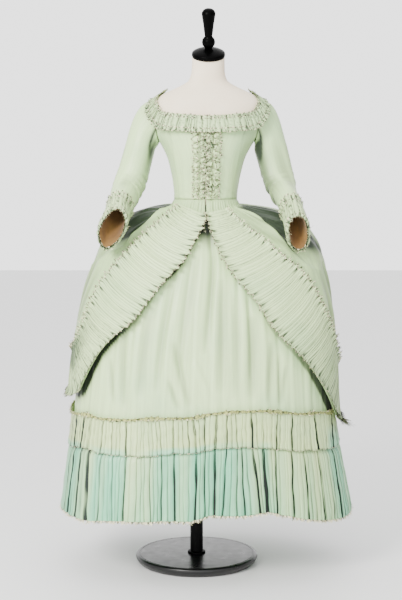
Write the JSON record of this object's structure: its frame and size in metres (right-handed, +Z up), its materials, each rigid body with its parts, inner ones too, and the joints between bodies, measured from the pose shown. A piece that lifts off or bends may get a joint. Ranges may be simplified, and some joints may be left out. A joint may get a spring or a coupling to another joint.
{
  "type": "robe a la circassienne on a dress form stand",
  "caption": "Pale green silk gown with ruched bodice, frilled cuffs, swagged overskirt and flounced petticoat, worn by a limbless form on a pole and round foot.",
  "frame": {"origin": "centre of the round foot's flat underside, on the floor", "axes": "+Z up along the pole; the wearer faces -Y; +X is to the viewer's right"},
  "size_m": [0.9728, 0.7308, 1.8371],
  "materials": {
    "pale_silk": "pale green silk taffeta with a soft sheen",
    "turquoise_silk": "unfaded turquoise silk taffeta",
    "trim_silk": "pinked and frayed green silk",
    "brown_lining": "matt brown linen",
    "cream_form_cover": "smooth cream jersey",
    "black_turned_wood": "black gloss lacquer",
    "black_metal": "satin black powder coat"
  },
  "bodies": {
    "root": {"stand_foot": "black_metal", "stand_pole": "black_metal", "dress_form": "cream_form_cover", "neck_cap": "black_turned_wood", "neck_finial": "black_turned_wood", "bodice_front_left": "pale_silk", "bodice_front_right": "pale_silk", "bodice_back_left": "pale_silk", "bodice_back_right": "pale_silk", "front_ruche_left": "pale_silk", "front_ruche_right": "pale_silk", "neck_frill_left": "trim_silk", "neck_frill_right": "trim_silk", "sleeve_left": "pale_silk", "sleeve_right": "pale_silk", "cuff_frill_left": "trim_silk", "cuff_frill_right": "trim_silk", "cuff_lining_left": "brown_lining", "cuff_lining_right": "brown_lining", "petticoat_front": "pale_silk", "petticoat_back": "pale_silk", "flounce_upper_front": "pale_silk", "flounce_upper_back": "pale_silk", "flounce_lower_front": "turquoise_silk", "flounce_lower_back": "turquoise_silk", "flounce_heading_front": "trim_silk", "flounce_heading_back": "trim_silk", "overskirt_right": "pale_silk", "overskirt_left": "pale_silk", "overskirt_back": "pale_silk", "furbelow_right": "trim_silk", "furbelow_left": "trim_silk", "furbelow_back": "trim_silk"}
  },
  "joints": []
}
